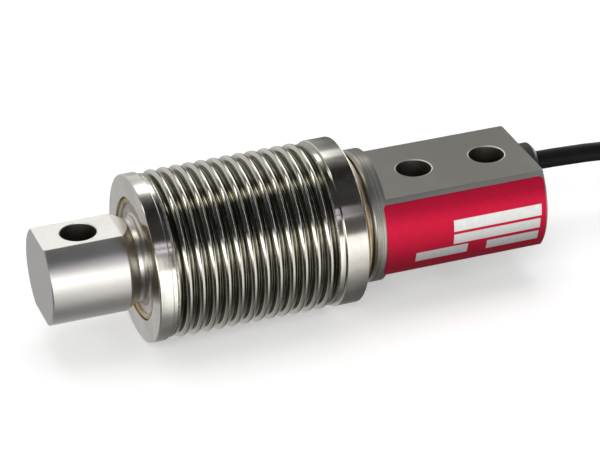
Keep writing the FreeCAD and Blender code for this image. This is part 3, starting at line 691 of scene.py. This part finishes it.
@dataclass
class SensingBody:
    """The one-piece bar: nose, taper, neck, measuring beam, collar and flat mounting end."""

    nose_radius: float = 12.25
    nose_half: float = 10.6
    neck_radius: float = 10.5
    neck_fillet: float = 2.6
    edge: float = 0.3
    mount_radius: float = 17.1
    mount_half: float = 10.7
    collar_edge: float = 0.8
    end_edge: float = 0.5
    long_edge: float = 0.16
    hole_radius: float = 4.5
    load_chamfer: float = 0.5
    mount_chamfer: float = 0.4
    bore_radius: float = 4.2
    channel_radius: float = 2.2
    beam_half_width: float = 8.5
    beam_half_height: float = 7.8
    flexures: tuple[float, float] = (-70.385, -53.385)
    flexure_radius: float = 5.2
    slot_half: float = 2.5
    steps: int = 144

    def build(self) -> Piece:
        """Model the body in three parts, join them, mill the flats and drill the holes."""
        body = self._load_end()
        Bench.combine(body, [self._beam(), self._mounting_end()], "UNION")
        Bench.combine(body, self._flats() + self._holes(), "DIFFERENCE")
        Bench.edit(body)
        Bench.tidy()
        Bench.soften(body, self._rims(Bar.HOLES_X[:1], self.nose_half), self.load_chamfer)
        Bench.soften(body, self._rims(Bar.HOLES_X[1:], self.mount_half), self.mount_chamfer)
        Bench.soften(body, self._on_long_edge, self.long_edge)
        return Bench.dress(body, Finishes.BODY, "body_steel", "beam_body")

    def _load_end(self) -> Piece:
        """The nose with its taper, filleted neck and seat."""
        nose, edge, fillet = self.nose_radius, self.edge, self.neck_fillet
        outline = [
            (Bar.NOSE_X, 0.0),
            (Bar.NOSE_X, nose - edge),
            (Bar.NOSE_X + edge * 0.4, nose - edge * 0.4),
            (Bar.NOSE_X + edge, nose),
            (Bar.TAPER_X - 0.12, nose),
            (Bar.TAPER_X + 0.1, nose - 0.05),
            (Bar.NECK_X - 0.2, self.neck_radius + 0.12),
            *curve_points((Bar.NECK_X, self.neck_radius + fillet), fillet, -90.0, 0.0, 8),
            (Bar.FRONT_SEAT_X, Bar.FRONT_SEAT),
            (Bar.BEAM_START_X, Bar.FRONT_SEAT),
            (Bar.BEAM_START_X, 0.0),
        ]
        return Bench.turned("sensing_body", outline, self.steps)

    def _mounting_end(self) -> Piece:
        """The neck behind the rear ring, the round collar and the bar of the mounting end."""
        mount, edge, end = self.mount_radius, self.collar_edge, self.end_edge
        outline = [
            (Bar.BEAM_END_X, 0.0),
            (Bar.BEAM_END_X, Bar.REAR_SEAT),
            (Bar.COLLAR_X, Bar.REAR_SEAT),
            *curve_points((Bar.COLLAR_X + edge, mount - edge), edge, 180.0, 90.0, 4),
            (Bar.END_X - end, mount),
            (Bar.END_X - end * 0.4, mount - end * 0.25),
            (Bar.END_X, mount - end),
            (Bar.END_X, 0.0),
        ]
        return Bench.turned("mounting_end", outline, self.steps)

    def _beam(self) -> Piece:
        """The measuring beam inside the bellows, with its two joined flexure holes."""
        width, height, slot = self.beam_half_width, self.beam_half_height, self.slot_half
        beam = Bench.block(
            "beam",
            (Bar.BEAM_START_X - 1.0, -width, Bar.AXIS_Z - height),
            (Bar.BEAM_END_X + 1.0, width, Bar.AXIS_Z + height),
        )
        front, rear = self.flexures
        cutters = [Bench.block("slot", (front, -20.0, Bar.AXIS_Z - slot), (rear, 20.0, Bar.AXIS_Z + slot))]
        for x in self.flexures:
            cutters.append(Bench.rod("flexure", self.flexure_radius, (x, 0.0, Bar.AXIS_Z), 40.0, "Y", 64))
        Bench.combine(beam, cutters, "DIFFERENCE")
        return beam

    def _flats(self) -> list[Piece]:
        """What the flats' milling takes off above and below the nose and the mounting end."""
        cuts = []
        for side in (1.0, -1.0):
            for start, end, half in (
                (Bar.NOSE_X - 5.0, Bar.NECK_X, self.nose_half),
                (Bar.FLAT_X, Bar.END_X + 5.0, self.mount_half),
            ):
                low, high = sorted((Bar.AXIS_Z + side * half, Bar.AXIS_Z + side * 30.0))
                cuts.append(Bench.block("mill", (start, -30.0, low), (end, 30.0, high)))
        return cuts

    def _holes(self) -> list[Piece]:
        """The cutters of the load hole, the mounting holes, the gland's bore and the cable channel."""
        cuts = [Bench.rod("hole", self.hole_radius, (x, 0.0, Bar.AXIS_Z), 60.0, "Z", 96) for x in Bar.HOLES_X]
        for name, radius, x, length, steps in (
            ("gland_bore", self.bore_radius, Bar.END_X - 4.0, 16.0, 64),
            ("channel", self.channel_radius, -8.0, 64.0, 32),
        ):
            cuts.append(Bench.rod(name, radius, (x, Bar.CHANNEL_SIDE, Bar.AXIS_Z), length, "X", steps))
        return cuts

    def _rims(self, places: Sequence[float], half: float) -> Callable[..., bool]:
        """A test for the edges on the rims of upright holes, on flats at a half height."""

        def on_rim(*ends: Vector) -> bool:
            """Whether both ends lie on one rim."""
            radius = self.hole_radius
            return any(
                all(self._on_flat(p, half) and abs(math.hypot(p.x - x, p.y) - radius) < 0.05 for p in ends)
                for x in places
            )

        return on_rim

    @staticmethod
    def _on_flat(point: Vector, half: float) -> bool:
        """Whether a point lies on the upper or lower flat at a half height."""
        return abs(abs(point.z - Bar.AXIS_Z) - half) < 0.02

    def _on_long_edge(self, first: Vector, second: Vector) -> bool:
        """Whether an edge is one of the long edges of the flats."""
        spans = ((Bar.NOSE_X, Bar.TAPER_X - 0.1, self.nose_half), (Bar.FLAT_X, Bar.END_X, self.mount_half))
        return abs(first.x - second.x) > 0.2 and any(
            all(
                self._on_flat(p, half)
                and start - 0.1 < p.x < end + 0.1
                and math.hypot(p.y, p.z - Bar.AXIS_Z) > half + 0.4
                for p in (first, second)
            )
            for start, end, half in spans
        )


@dataclass
class EndRings:
    """The two turned rings that close the bellows, and the weld beads that join them to the body."""

    radius: float = 21.3
    edge: float = 0.3
    recess: float = 15.6
    spigot: float = 20.302
    bead_width: float = 1.6
    bead_height: float = 0.65
    rear_bead_width: float = 2.6
    rear_bead_height: float = 1.2
    rear_bead_dip: float = 0.6
    steps: int = 160

    def build(self) -> list[Piece]:
        """Turn both rings and both beads from their outlines and dress them."""
        made = []
        ring, weld = (Finishes.RING, "ring_steel", 28.0), (Finishes.WELD, "weld_steel", 50.0)
        for name, node, outline, (finish, slot, angle) in (
            ("front_ring", "front_end_ring", self._front(), ring),
            ("rear_ring", "rear_end_ring", self._rear(), ring),
            ("front_weld", "front_weld_bead", self._front_bead(), weld),
            ("rear_weld", "rear_weld_bead", self._rear_bead(), weld),
        ):
            piece = Bench.turned(name, outline, self.steps, closed=True)
            made.append(Bench.dress(piece, finish, slot, node, angle))
        return made

    def _rim(self, start: float, end: float) -> Outline:
        """A ring's outer face between two places along X, with its corners rounded."""
        edge, level = self.edge, self.radius - self.edge
        near = curve_points((start + edge, level), edge, 180.0, 90.0, 4)
        return near + curve_points((end - edge, level), edge, 90.0, 0.0, 4)

    def _front(self) -> Outline:
        """The ring at the load end, with its weld recess."""
        return [
            (Bar.FRONT_RING_X + 0.12, self.recess),
            (Bar.FRONT_RING_X, self.recess + 0.12),
            *self._rim(Bar.FRONT_RING_X, Bar.BELLOWS_X),
            (Bar.BELLOWS_X, self.spigot),
            (Bar.BEAM_START_X, self.spigot),
            (Bar.BEAM_START_X, Bar.FRONT_SEAT),
            (Bar.FRONT_SEAT_X, Bar.FRONT_SEAT),
            (Bar.FRONT_SEAT_X, self.recess),
        ]

    def _rear(self) -> Outline:
        """The ring at the mounting end."""
        return [
            (Bar.BEAM_END_X, Bar.REAR_SEAT),
            (Bar.BEAM_END_X, self.spigot),
            (Bar.REAR_RING_X, self.spigot),
            *self._rim(Bar.REAR_RING_X, Bar.REAR_RING_END_X),
            (Bar.REAR_RING_END_X, Bar.REAR_SEAT),
        ]

    def _front_bead(self) -> Outline:
        """The bead in the front ring's recess."""
        half, height = self.bead_width / 2, self.bead_height
        turns = [math.pi * i / 8 for i in range(9)]
        middle = self.recess - half
        return [(Bar.FRONT_SEAT_X - height * math.sin(a), middle - half * math.cos(a)) for a in turns]

    def _rear_bead(self) -> Outline:
        """The bead behind the rear ring, laid in two passes."""
        dip, half = self.rear_bead_dip, self.rear_bead_width / 4
        rise = self.rear_bead_height - dip
        outline: Outline = [(Bar.REAR_RING_END_X, Bar.REAR_SEAT)]
        for i in range(2):
            middle = Bar.REAR_RING_END_X + half * (1 + 2 * i)
            for step in range(i, 7):
                turn = math.pi * step / 6
                outline.append((middle - half * math.cos(turn), Bar.REAR_SEAT + dip + rise * math.sin(turn)))
        return outline + [(Bar.REAR_RING_END_X + self.rear_bead_width, Bar.REAR_SEAT)]


@dataclass
class BellowsSkin:
    """The thin corrugated tube, with rounded folds that lean a little out of square."""

    crest: float = Bar.CREST
    root: float = Bar.ROOT
    cuff: float = 20.7
    folds: int = 12
    pitch: float = 3.33
    first_root: float = 0.515
    front_cuff: float = 1.95
    rear_cuff: float = 1.85
    wall: float = 0.3
    crest_round: float = 0.9
    root_round: float = 0.72
    cuff_edge: float = 0.4
    cuff_foot: float = 0.3
    slope: float = 88.0
    steps: int = 128
    lean: tuple[float, ...] = (0.1, 0.2, 0.35, 0.45, 0.6, 0.7, 0.7, 0.6, 0.45, 0.3, 0.2, 0.1)

    def build(self) -> Piece:
        """Draw the folds, spin them, lean them and give the wall its thickness."""
        tube = Bench.turned("bellows_tube", self._outline(), self.steps)
        self._lean(tube)
        Bench.modify(tube, "SOLIDIFY", thickness=self.wall * MM, offset=-1.0)
        return Bench.dress(tube, Finishes.BELLOWS, "bellows_steel", "bellows", 50.0)

    def _outline(self) -> Outline:
        """The wall's outer face from ring to ring."""
        start = Bar.BELLOWS_X + self.front_cuff
        end = Bar.REAR_RING_X - self.rear_cuff
        small, wide, slope = self.crest_round, self.root_round, self.slope
        edge, foot = self.cuff_edge, self.cuff_foot
        points = [(Bar.BELLOWS_X, self.cuff)]
        points += curve_points((start - edge, self.cuff - edge), edge, 90.0, 0.0, 3)
        points += curve_points((start + foot, self.root + foot), foot, 180.0, 270.0, 3)
        for i in range(self.folds):
            middle = start + self.first_root + (i + 0.5) * self.pitch
            before, after = middle - self.pitch / 2, middle + self.pitch / 2
            points += curve_points((before, self.root + wide), wide, 270.0, 270.0 + slope, 5)[i == 0:]
            points += curve_points((middle, self.crest - small), small, 90.0 + slope, 90.0 - slope, 8)
            points += curve_points((after, self.root + wide), wide, 270.0 - slope, 270.0, 5)[:-1]
        points += curve_points((end - foot, self.root + foot), foot, 270.0, 360.0, 3)
        points += curve_points((end + edge, self.cuff - edge), edge, 180.0, 90.0, 3)
        return points + [(Bar.REAR_RING_X, self.cuff)]

    def _lean(self, tube: Piece) -> None:
        """Turn each fold a little about the level line across it, with a soft change between."""
        Bench.edit(tube)
        start = Bar.BELLOWS_X + self.front_cuff + self.first_root + self.pitch / 2
        for i, amount in enumerate(self.lean):
            middle = start + i * self.pitch
            mesh = bmesh.from_edit_mesh(tube.data)
            for point in mesh.verts:
                point.select = abs(point.co.x * 1000.0 - middle) < self.pitch * 0.33
            mesh.select_flush_mode()
            bmesh.update_edit_mesh(tube.data)
            centre = (middle * MM, 0.0, Bar.AXIS_Z * MM)
            bpy.ops.transform.rotate(value=math.radians(amount), orient_axis="Y", center_override=centre)
        bpy.ops.object.mode_set(mode="OBJECT")


@dataclass
class CableGland:
    """The round sleeve in the mounting end that holds the cable."""

    shank: float = 4.2
    head: float = 5.2
    chamber: float = 3.4
    lip: float = 2.6
    lip_length: float = 1.0
    head_length: float = 8.0
    chamfer: float = 1.2
    depth: float = 12.0

    def build(self) -> Piece:
        """Model the sleeve with its head, chamfer, chamber and lip."""
        start, end = Bar.END_X - self.depth, Bar.END_X + self.head_length
        head, lip, chamfer, soft, small = self.head, self.lip, self.chamfer, 0.1, 0.15
        outline = [
            (start, self.chamber),
            (start, self.shank),
            (Bar.END_X, self.shank),
            (Bar.END_X, head - small),
            (Bar.END_X + small, head),
            (end - chamfer - soft, head),
            (end - chamfer + soft, head - soft),
            (end - soft, head - chamfer + soft),
            (end, head - chamfer - soft),
            (end, lip + small),
            (end - small, lip),
            (end - self.lip_length, lip),
            (end - self.lip_length, self.chamber),
        ]
        gland = Bench.turned("cable_gland", outline, 96, Bar.CHANNEL_SIDE, closed=True)
        return Bench.dress(gland, Finishes.GLAND, "gland", "gland_body")


@dataclass
class SignalCable:
    """The cable from its gland, over the floor, round its hank and to its stripped end."""

    diameter: float = 5.0
    length: float = 3000.0
    centre_x: float = 154.0
    straight: float = 53.0
    inner: float = 15.0
    outer: float = 20.0
    low: float = -7.5
    top_level: float = 6.875
    turns: float = 13.25
    marks: tuple[float, ...] = (0.02, 0.125, 0.23)
    bend_points: int = 6
    bend_inset: float = 0.966
    route: tuple[Place, ...] = (
        (9.5, 10.8, 10.7),
        (51.0, 10.8, 11.2),
        (73.0, 11.4, 3.4),
        (97.0, 12.9, -8.1),
        (120.0, 14.7, -7.8),
    )
    tail: tuple[Place, ...] = ((180.5, 20.0, -7.5), (190.5, 20.0, -7.5), (210.5, 16.0, -7.5))
    on_it: tuple[str, ...] = (
        "hank_ties", "end_sleeve", "core_red", "core_white",
        "core_green", "core_black", "drain_wire", "tinned_tips",
    )

    def build(self) -> Piece:
        """Lay the cable as one smooth spline."""
        line = bpy.data.curves.new("signal_cable", "CURVE")
        line.dimensions = "3D"
        line.bevel_depth = self.diameter / 2 * MM
        line.bevel_resolution = 5
        line.resolution_u = 6
        line.use_fill_caps = True
        points = [*self.route, *self._hank(), *self.tail]
        spline = line.splines.new("NURBS")
        spline.points.add(len(points) - 1)
        for point, place in zip(spline.points, points):
            point.co = (*(value * MM for value in place), 1.0)
        spline.order_u = 3
        spline.use_endpoint_u = True
        cable = Bench.stand("signal_cable", line)
        line.materials.append(Finishes.JACKET.material())
        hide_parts("cable", "cable_hank", "cable_tail")
        return cable

    def _level(self, turn: float) -> float:
        """The height in diameters at a number of turns: up the inside, then down the outside."""
        if turn <= self.top_level + 0.25:
            return min(turn, self.top_level)
        last = (self.turns - turn) * 4.0
        return max(0.0, last if turn >= self.turns - 0.25 else 2 * self.top_level + 0.25 - turn)

    def _radius(self, turn: float) -> float:
        """The loop's radius at a number of turns: the inner layer, then the outer."""
        share = min(1.0, max(0.0, (turn - self.top_level) * 4.0))
        return self.inner + (self.outer - self.inner) * share

    def _around(self, share: float, radius: float) -> tuple[float, float]:
        """How far along and across the loop a share of a turn lies, on its straight or its bend."""
        if share < 0.25:
            return (share / 0.25 - 0.5) * self.straight, radius
        angle = math.radians(90.0 - 180.0 * (share / 0.25 - 1.0))
        reach = radius / self.bend_inset
        return self.straight / 2 + reach * math.cos(angle), reach * math.sin(angle)

    def _hank(self) -> list[Place]:
        """The hank's turns, laid up the inside and down the outside of a long loop."""
        bends = [0.25 + 0.25 * (i + 0.5) / self.bend_points for i in range(self.bend_points)]
        places = []
        for half_turn in range(math.ceil(self.turns) * 2):
            side = -1.0 if half_turn % 2 else 1.0
            for share in (*self.marks, *bends):
                turn = half_turn / 2 + share
                if turn <= self.turns:
                    along, across = self._around(share, self._radius(turn))
                    height = self.low + self.diameter * self._level(turn)
                    places.append((self.centre_x + side * along, side * across, height))
        return places


class Dress:
    """The finishes of the CAD nodes whose shape is kept, by how their names start."""

    GROUPS: tuple[tuple[Finish, str], ...] = (
        (Finishes.PAD, "terminal_strip"),
        (Finishes.FILM, "strain_gauge"),
        (Finishes.TINNED, "gauge_leads tinned_tips drain_wire"),
        (Finishes.SHEATH, "bridge_wires inner_cores"),
        (Finishes.BOARD, "compensation_board"),
        (Finishes.RESISTOR, "trim_resistors"),
        (Finishes.BRASS, "solder_posts gland_washer"),
        (Finishes.SEALANT, "channel_sealant"),
        (Finishes.RUBBER, "gland_seal"),
        (Finishes.POTTING, "potting_plug"),
        (Finishes.LABEL, "nameplate"),
        (Finishes.TIE, "hank_ties"),
        (Finishes.SLEEVE, "end_sleeve"),
        (Finishes.RED, "core_red"),
        (Finishes.WHITE, "core_white"),
        (Finishes.GREEN, "core_green"),
        (Finishes.BLACK, "core_black"),
    )

    @staticmethod
    def kept(nodes: dict[str, Piece]) -> int:
        """Dress every kept node and say how many there were."""
        count = 0
        for finish, starts in Dress.GROUPS:
            for node in (nodes[name] for name in nodes if name.startswith(tuple(starts.split()))):
                for slot in node.material_slots:
                    slot.material = finish.material()
                count += 1
        return count


@dataclass(frozen=True)
class StudioGlow(Finish):
    """The studio as the metal mirrors it: levels by the angle round the X axis, in three parts along X."""

    square_on: Levels = (
        (-180, 0.2), (-150, 0.2), (-128, 0.34), (-110, 0.48), (-80, 0.66), (-62, 0.6), (-52, 0.95),
        (-47, 3.0), (-37, 3.0), (-31, 0.75), (-22, 0.22), (-12, 0.04), (0, 0.022), (20, 0.065), (42, 0.055),
        (62, 0.1), (74, 0.12), (81, 0.3), (86, 2.5), (98, 2.6), (110, 1.9), (120, 1.6), (130, 1.35),
        (140, 0.9), (150, 0.56), (162, 0.36), (180, 0.2),
    )
    left: Levels = (
        (-180, 0.3), (-145, 0.6), (-106, 0.6), (-94, 0.85), (-56, 0.85), (-40, 0.6), (-22, 0.18), (2, 0.02),
        (54, 0.02), (61, 0.6), (69, 3.0), (84, 3.0), (94, 0.8), (108, 0.06), (146, 0.05), (164, 0.2),
        (180, 0.3),
    )
    right: Levels = (
        (-180, 0.2), (-125, 0.4), (-112, 2.0), (-100, 3.0), (-42, 3.0), (-34, 0.5), (-26, 0.02), (66, 0.02),
        (78, 0.35), (92, 1.4), (120, 1.5), (140, 1.1), (156, 0.6), (180, 0.2),
    )
    brightest: float = 3.0
    patch_level: float = 1.5
    hoop_level: float = 4.5
    spot_level: float = 8.0
    window: Pane = ((130.0, 279.0, 3.0), (-84.0, -28.0, 3.0))
    low_wide: Pane = ((130.0, 300.0, 3.0), (100.0, 150.0, 8.0))
    low_near: Pane = ((130.0, 285.0, 5.0), (100.0, 150.0, 8.0))
    patch: Pane = ((120.0, 346.0, 5.0), (46.0, 61.0, 3.0))
    near_hoop: Pane = ((590.0, 690.0, 30.0), (-34.0, 62.0, 6.0))
    far_hoop: Pane = ((-640.0, -600.0, 20.0), (4.0, 62.0, 6.0))
    spot: Pane = ((-1100.0, -60.0, 60.0), (-12.0, -4.0, 9.0))
    cool: Colour = (0.82, 0.88, 1.0)
    violet: Colour = (0.93, 0.88, 1.0)
    warm: Colour = (1.0, 0.97, 0.86)

    def _stops(self, table: Levels) -> Levels:
        """One part's levels as shares of the whole turn and of the brightest."""
        return tuple(((at + 180.0) / 360.0, level / self.brightest) for at, level in table)

    def paint(self, graph: Graph) -> None:
        """Join the three parts, and add a window, a shaded strip, a mottled patch, a spot and two hoops."""
        x, y, z = graph.axes()
        angle = y.turn(z)
        share = (angle + 180.0) / 360.0
        tables = (self.square_on, self.left, self.right)
        square_on, left, right = (graph.ramp(share, self._stops(table)) for table in tables)
        window, low_wide, low_near, patch = graph.panes(
            x, angle, self.window, self.low_wide, self.low_near, self.patch
        )
        near_hoop, far_hoop, spot = graph.panes(x, angle, self.near_hoop, self.far_hoop, self.spot)
        fade = 1.0 - (x - 379.0).rise(-110.0, 60.0) * 0.5
        lift = 1.0 + window * 0.6 + low_wide * 0.2 + low_near * 0.4
        shade = angle.band(-56.0, -28.0, 3.0) * 0.2 + angle.band(-112.0, -28.0, 6.0) * 0.7
        middle = square_on * fade * lift * (1.0 - x.rise(353.0, 363.0) * shade)
        level = graph.blend(x.rise(150.0, 250.0), left, middle)
        level = graph.blend(x.rise(600.0, 720.0), level, right)
        patch = patch * graph.noise(14.0, 3.0, 0.7).rise(0.40, 0.60)
        hoops = near_hoop + far_hoop * 0.3
        colour = graph.blend(patch, graph.blend(hoops, level, self.cool), self.violet)
        calm = (1.0 - hoops) * (1.0 - patch) * (1.0 - spot)
        power = calm * self.brightest + patch * self.patch_level
        power = power + hoops * self.hoop_level + spot * self.spot_level
        inputs = {"Color": graph.blend(spot, colour, self.warm), "Strength": power}
        graph.finish(graph.node("ShaderNodeEmission", {}, inputs))


@dataclass
class Studio:
    """The pale floor, the white surround, the lamps, the mirrored studio and the camera."""

    camera_place: Place = (-262.8, -633.0, 378.5)
    camera_ahead: Place = (0.29029, 0.82772, -0.48023)
    camera_roll: float = -1.34
    lens: float = 182.0
    sensor: float = 36.0
    tube_radius: float = 1250.0
    tube_length: float = 8000.0
    tube_centre: Place = (200.0, 0.0, 0.0)
    surround_light: float = 0.45
    floor_lift: float = 0.34
    floor_pale: Colour = (0.86, 0.86, 0.86)
    floor_paler: Colour = (0.88, 0.88, 0.88)

    def aim_camera(self) -> None:
        """Stand the camera where the photograph was taken from."""
        ahead = Vector(self.camera_ahead).normalized()
        level = ahead.cross(Vector((0.0, 0.0, 1.0))).normalized()
        above = level.cross(ahead)
        roll = math.radians(self.camera_roll)
        right = level * math.cos(roll) + above * math.sin(roll)
        up = above * math.cos(roll) - level * math.sin(roll)
        turn = Matrix((right, up, -ahead)).transposed().to_4x4()
        lens = bpy.data.cameras.new("camera")
        lens.lens = self.lens
        lens.sensor_width = self.sensor
        lens.sensor_fit = "HORIZONTAL"
        lens.clip_start = 0.01
        lens.clip_end = 20.0
        camera = Bench.stand("camera", lens)
        camera.matrix_world = Matrix.Translation(Vector(self.camera_place) * MM) @ turn
        bpy.context.scene.camera = camera

    def build(self) -> None:
        """Lay the floor, light the object and set up what the metal mirrors."""
        self._surround()
        self._floor()
        self._lamp("overhead_lamp", (0.0, 0.25, 1.3), 1.3, 6.0)
        self._lamp("front_lamp", (-0.45, -1.0, 0.75), 0.8, 5.0)
        self._mirrored()

    def _surround(self) -> None:
        """White to camera, mirrors and glass, and a softer light to everything else."""
        world = bpy.data.worlds.new("surround")
        world.use_nodes = True
        bpy.context.scene.world = world
        graph = Graph(world.node_tree)
        outputs = graph.node("ShaderNodeLightPath", {}, {}).socket.node.outputs
        seen = Wire(graph, outputs["Is Camera Ray"])
        for kind in ("Is Glossy Ray", "Is Transmission Ray"):
            seen = seen.maths("MAXIMUM", Wire(graph, outputs[kind]))
        strength = self.surround_light + seen * (1.0 - self.surround_light)
        shader = graph.node("ShaderNodeBackground", {}, {"Color": (1.0, 1.0, 1.0), "Strength": strength})
        graph.finish(shader, "ShaderNodeOutputWorld")

    def _floor(self) -> None:
        """A pale floor that keeps the object's shadow and looks white away from it."""
        Bench.clear()
        bpy.ops.mesh.primitive_plane_add(size=8.0, location=(0.0, 0.0, Bar.FLOOR_Z * MM))
        floor = Bench.settle("floor")
        paint = bpy.data.materials.new("floor_finish")
        paint.use_nodes = True
        graph = Graph(paint.node_tree)
        camera = graph.node("ShaderNodeLightPath", {}, {}, "Is Camera Ray")
        colour = graph.blend(graph.noise(40.0), self.floor_pale, self.floor_paler)
        matt = graph.node("ShaderNodeBsdfDiffuse", {}, {"Color": colour})
        inputs = {"Color": (1.0, 1.0, 1.0), "Strength": camera * self.floor_lift}
        lift = graph.node("ShaderNodeEmission", {}, inputs)
        graph.finish(graph.node("ShaderNodeAddShader", {}, {0: matt, 1: lift}))
        floor.data.materials.append(paint)
        floor.visible_glossy = False

    def _lamp(self, name: str, place: Place, size: float, power: float) -> None:
        """A soft lamp aimed at the object, which lights colours and isn't seen in the metal."""
        light = bpy.data.lights.new(name, "AREA")
        light.shape = "DISK"
        light.size = size
        light.energy = power
        lamp = Bench.stand(name, light)
        lamp.location = place
        lamp.rotation_euler = (Vector() - Vector(place)).to_track_quat("-Z", "Y").to_euler()
        lamp.visible_glossy = False

    def _mirrored(self) -> None:
        """The studio round the object as a tube that only reflections see."""
        card = Bench.rod("studio_card", self.tube_radius, self.tube_centre, self.tube_length, "X", 96)
        glow = StudioGlow("studio_glow")
        Bench.wear(card, glow)
        glow.material().cycles.emission_sampling = "NONE"
        for ray in ("camera", "diffuse", "shadow", "transmission", "volume_scatter"):
            setattr(card, f"visible_{ray}", False)


def main() -> None:
    """Build the load cell's looks in order and report each piece."""
    logging.basicConfig(level=logging.INFO, format="%(message)s")
    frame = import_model()
    studio = Studio()
    studio.aim_camera()
    cable_run = SignalCable()
    cable = cable_run.build()
    pieces = [cable, SensingBody().build(), *EndRings().build(), BellowsSkin().build(), CableGland().build()]
    for piece in pieces:
        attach(piece, ROOT)
        faces = len(piece.data.polygons) if piece.type == "MESH" else 0
        LOG.info("%s: %d faces", piece.name, faces)
    LOG.info("kept nodes dressed: %d", Dress.kept(frame["nodes"]))
    studio.build()
    bpy.context.scene.view_settings.view_transform = "Standard"


if __name__ == "__main__":
    main()
